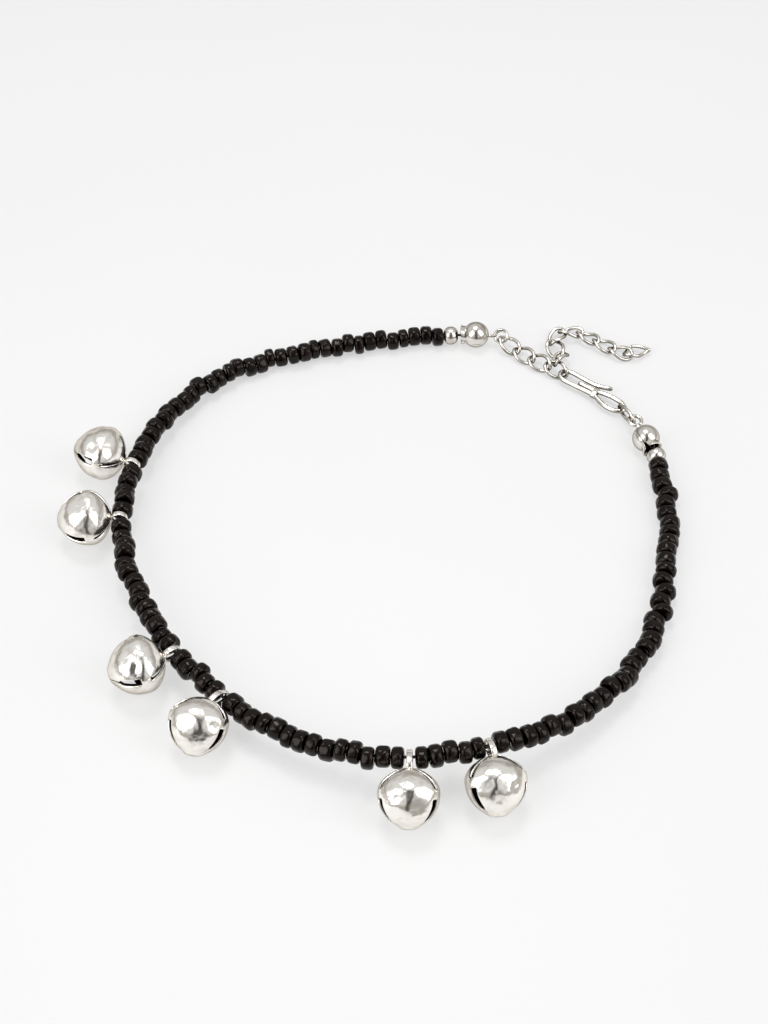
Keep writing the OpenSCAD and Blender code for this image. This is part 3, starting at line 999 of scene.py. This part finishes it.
def model_sleeve():
    """A short cylinder along X, spread sideways so that it wraps both wires."""
    bpy.ops.mesh.primitive_cylinder_add(vertices=WRAP_SIDES, depth=WRAP_LEN,
                                        radius=HOOK_WIRE / 2 + WRAP_WALL,
                                        location=(WRAP_X + WRAP_LEN / 2, WRAP_Y, 0),
                                        rotation=(0, np.pi / 2, 0))
    sleeve = added("sleeve")
    for side in (-1, 1):
        choose(sleeve, "VERT", lambda x, y, z: side * (y - WRAP_Y) > OFF_MIDDLE)
        bpy.ops.transform.translate(value=(0, side * WRAP_SPREAD, 0))
        done()
    soften(sleeve, width=0.12, segments=3, sharp=0.9)
    return sleeve


# %% Bend the hook and lay it
HOOK_LINE = np.array([
    [2.6, 0.87], [4.4, 0.87], [6, 0.85], [7.6, 1.1], [9.2, 1.15], [10.8, 0.85], [11.7, 0],
    [10.8, -0.9], [9.2, -1.1], [7.6, -0.7], [6.2, -0.1], [4.8, 0], [2.6, 0],
    [0.4, 0], [-0.6, 0.35], [-1, 1.1], [-0.6, 1.8], [0.6, 2.1], [2.4, 2], [4.2, 1.9],
    [5.8, 2], [7.9, 2.6],
])
HOOK_STEPS, HOOK_SIDES = 6, 14
HOOK_PLACE = [31.35, 35.55, 1.0, -36, 0.5, 6]

hook_points = smooth(np.column_stack([HOOK_LINE, np.zeros(len(HOOK_LINE))]), HOOK_STEPS)
hook_wire = wire("hook_wire", hook_points, HOOK_WIRE, sides=HOOK_SIDES)
hook = joined("wire_hook", hook_wire, model_sleeve())
lay(hook, laid(HOOK_PLACE))
shade(hook, degrees=40)
finish(with_painted_light(hook), WIRE_SILVER, "silver", "hook")

# %% [markdown]
# ## Pieces whose shape is already right
# The thread, the two plain end beads and the pellets inside the bells have their
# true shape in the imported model, so they stay and only get their finish.

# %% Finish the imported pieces
for name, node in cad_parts.items():
    if name.startswith(("thread", "end_bead", "pellet")):
        node.data.materials.clear()
        node.data.materials.append(THREAD if name == "thread" else BALL_SILVER)
        print("finished", name)

# %% [markdown]
# ## Table and light
# The photograph was taken on a white, slightly glossy table in a white room. The
# table is given a painted glow, most in the middle, a pool of painted light that
# keeps it pale and even and lights the pieces from below. Two softboxes stand in
# front, on the left and on the right, and a small one hangs overhead. Metal shows
# what stands around it, so the room matters as much as the lamps: bright overhead,
# greyer and warmer towards the horizon, with a dark strip in front that gives the
# bells their dark streak.

# %% White table
TABLE_SIZE = 1.6
# How fast the painted glow fades from the middle outwards, towards the back and to the left
FADE_OUT, FADE_BACK, FADE_LEFT = 9.0, 0.1, 0.12

bpy.ops.mesh.primitive_plane_add(size=TABLE_SIZE)
table = added("white_table")
top = Finish("white acrylic")
cloud = top.noise(60, 2.0)
across = top.node("ShaderNodeSeparateXYZ", output=0, Vector=top.place)
deep = top.node("ShaderNodeSeparateXYZ", output=1, Vector=top.place)
# Painted light: the table glows most in the middle, as a painted pool of light
far_off = ((across * across + deep * deep) * FADE_OUT
           + deep * FADE_BACK - across * FADE_LEFT)
glow = top.mix(far_off.clamped(), (0.54, 0.54, 0.54), (0.385, 0.385, 0.385))
top_material = top.surface(Base_Color=top.mix(cloud, (0.31, 0.31, 0.31), (0.33, 0.33, 0.33)),
                           Roughness=0.42 + 0.05 * top.noise(3, 2.0), IOR=1.3,
                           Emission_Color=glow, Emission_Strength=1.0)
table.data.materials.append(top_material)
print("table", TABLE_SIZE, "m wide")

# %% Soft lights
# Each light: its name, its place, its width, its height and its power
LIGHTS = [
    ("left_softbox", (-0.38, -0.22, 0.34), 0.3, 0.5, 1.3),
    ("right_softbox", (0.38, -0.16, 0.36), 0.26, 0.5, 1.1),
    ("overhead_softbox", (-0.05, 0.22, 0.66), 0.2, 0.2, 1.2),
]

for name, at, width, height, power in LIGHTS:
    bpy.ops.object.light_add(type="AREA", location=at)
    lamp = bpy.context.object
    lamp.name = name
    lamp.rotation_euler = (LOOKS_AT - Vector(at)).to_track_quat("-Z", "Y").to_euler()
    lamp.data.shape = "RECTANGLE"
    lamp.data.size, lamp.data.size_y = width, height
    lamp.data.energy = power
    print(name, "of", power, "W")

# %% The room
WALLS = [(0.0, (0.3, 0.278, 0.25)), (0.22, (0.4, 0.382, 0.355)),
         (0.45, (0.68, 0.68, 0.68)), (0.85, (0.66, 0.66, 0.66))]
STRIP_COLOUR = (0.035, 0.03, 0.026)
# Half the width of the dark strip and where it starts, and how softly each one ends
STRIP_HALF, STRIP_SIDE_EDGE, STRIP_FROM, STRIP_FROM_EDGE = 0.24, 12, 0.1, 5

room = bpy.data.worlds.new("white room")
scene.world = room
room.use_nodes = True
air = Nodes(room.node_tree)
towards = air.node("ShaderNodeTexCoord", output=0)
side = air.node("ShaderNodeSeparateXYZ", output=0, Vector=towards)
front = air.node("ShaderNodeSeparateXYZ", output=1, Vector=towards) * -1.0
up = air.node("ShaderNodeSeparateXYZ", output=2, Vector=towards)
walls = air.node("ShaderNodeValToRGB", {"stops": WALLS}, Fac=up)
strip = (((STRIP_HALF - side.math("ABSOLUTE", side)) * STRIP_SIDE_EDGE).clamped()
         * ((front - STRIP_FROM) * STRIP_FROM_EDGE).clamped())
light = air.mix(strip, walls, STRIP_COLOUR)
sky = air.node("ShaderNodeBackground", Color=light, Strength=1.0)
out = room.node_tree.nodes.new("ShaderNodeOutputWorld")
room.node_tree.links.new(sky.socket, out.inputs["Surface"])

scene.view_settings.view_transform = "Standard"
scene.view_settings.look = "None"
print("room:", len(room.node_tree.nodes), "nodes")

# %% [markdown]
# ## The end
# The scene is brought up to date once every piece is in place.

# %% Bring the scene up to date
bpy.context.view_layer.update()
